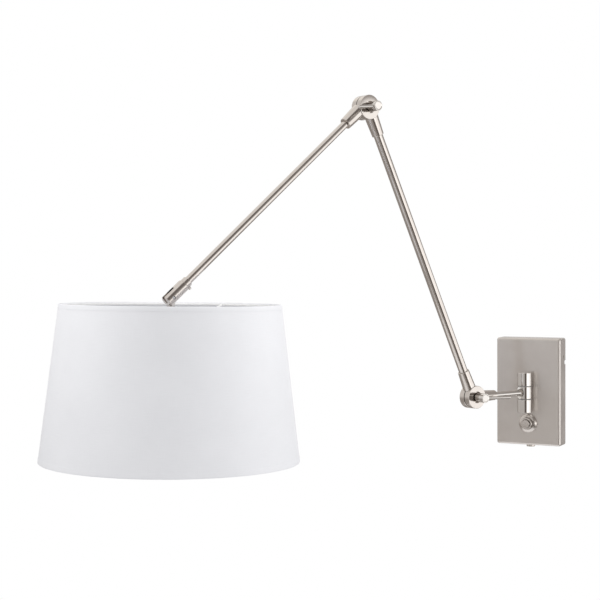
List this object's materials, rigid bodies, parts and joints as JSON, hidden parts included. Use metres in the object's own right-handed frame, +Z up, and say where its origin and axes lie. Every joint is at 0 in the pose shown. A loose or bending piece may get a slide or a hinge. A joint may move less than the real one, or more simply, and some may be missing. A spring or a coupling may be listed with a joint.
{
  "type": "swing-arm wall lamp",
  "caption": "Wall-mounted swing-arm lamp: box backplate with hinge and dimmer, two tubular arms with clamped elbows, swivelling tapered white drum shade.",
  "frame": {"origin": "centre of the wall box's back face, on the wall", "axes": "+Y into the wall, -Y into the room, +Z up, +X to the right seen from the room"},
  "size_m": [0.5342, 0.8162, 0.5521],
  "materials": {
    "satin_nickel": "satin",
    "polished_nickel": "polished",
    "steel": "satin",
    "brass": "satin",
    "white_plastic": "satin",
    "black_plastic": "matte",
    "fibre": "matte",
    "white_wire": "satin",
    "shade_fabric": "matte",
    "opal_glass": "satin"
  },
  "bodies": {
    "wall_box": {"mounting_plate": "steel", "cover_shell": "satin_nickel", "cover_screw_right": "polished_nickel", "cover_screw_left": "polished_nickel", "thumb_screw": "satin_nickel", "terminal_block": "white_plastic", "earth_stud_nut": "brass", "hinge_backing_plate": "steel", "upper_post_nut": "steel", "lower_post_nut": "steel", "dimmer_module": "black_plastic", "dimmer_nut": "steel", "dimmer_flange": "polished_nickel", "upper_hinge_barrel": "polished_nickel", "lower_hinge_barrel": "polished_nickel", "hinge_pin": "steel", "upper_hinge_washer": "steel", "lower_hinge_washer": "steel"},
    "dimmer_knob": {"dimmer_spindle": "steel", "dimmer_knob": "polished_nickel"},
    "dimmer_button": {"dimmer_button": "satin_nickel"},
    "short_arm": {"swing_knuckle": "polished_nickel", "short_arm_rod": "polished_nickel", "lower_elbow_front_bracket": "satin_nickel"},
    "lower_clamp": {"lower_clamp_screw": "polished_nickel", "lower_clamp_lever": "polished_nickel"},
    "lower_arm": {"lower_elbow_back_bracket": "satin_nickel", "lower_elbow_cap": "polished_nickel", "lower_elbow_washer": "fibre", "lower_arm_tube": "satin_nickel", "upper_elbow_front_bracket": "satin_nickel"},
    "upper_clamp": {"upper_clamp_screw": "polished_nickel", "upper_clamp_lever": "polished_nickel"},
    "upper_arm": {"upper_elbow_back_bracket": "satin_nickel", "upper_elbow_cap": "polished_nickel", "upper_elbow_washer": "fibre", "upper_arm_tube": "satin_nickel", "end_collar": "satin_nickel", "end_fork": "satin_nickel", "collar_set_screw": "polished_nickel", "swivel_pin": "steel"},
    "shade_head": {"swivel_tongue": "polished_nickel", "holder_cap": "satin_nickel", "holder_body": "white_plastic", "holder_contact": "brass", "shade_ring_nut": "white_plastic", "shade_spider": "white_wire", "shade_bottom_ring": "white_wire", "shade_fabric": "shade_fabric", "shade_top_tape": "shade_fabric", "shade_bottom_tape": "shade_fabric", "bulb_cap": "steel", "bulb_glass": "opal_glass"}
  },
  "joints": [
    {"name": "arm_swing", "type": "hinge", "parent": "wall_box", "child": "short_arm", "pos_m": [0, -0.0475, 0], "axis": [0, 0, 1], "range_deg": [-48, 102]},
    {"name": "lower_elbow", "type": "hinge", "parent": "short_arm", "child": "lower_arm", "pos_m": [-0.05221, -0.14997, 0], "axis": [-0.891, 0.454, 0], "range_deg": [-109, 35]},
    {"name": "upper_elbow", "type": "hinge", "parent": "lower_arm", "child": "upper_arm", "pos_m": [-0.14902, -0.33996, 0.44228], "axis": [-0.891, 0.454, 0], "range_deg": [-10, 103]},
    {"name": "shade_tilt", "type": "hinge", "parent": "upper_arm", "child": "shade_head", "pos_m": [-0.30069, -0.63765, 0.16716], "axis": [-0.891, 0.454, 0], "range_deg": [-32, 85]},
    {"name": "lower_clamp_turn", "type": "hinge", "parent": "short_arm", "child": "lower_clamp", "pos_m": [-0.05221, -0.14997, 0], "axis": [-0.891, 0.454, 0], "range_deg": [-90, 90]},
    {"name": "upper_clamp_turn", "type": "hinge", "parent": "lower_arm", "child": "upper_clamp", "pos_m": [-0.14902, -0.33996, 0.44228], "axis": [-0.891, 0.454, 0], "range_deg": [-90, 90]},
    {"name": "dimmer_turn", "type": "hinge", "parent": "wall_box", "child": "dimmer_knob", "pos_m": [0, -0.03, -0.052], "axis": [0, -1, 0], "range_deg": [0, 270]},
    {"name": "dimmer_push", "type": "slide", "parent": "dimmer_knob", "child": "dimmer_button", "axis": [0, 1, 0], "range_m": [0, 0.0015], "stiffness_N_per_m": 600, "springref_m": -0.001}
  ]
}
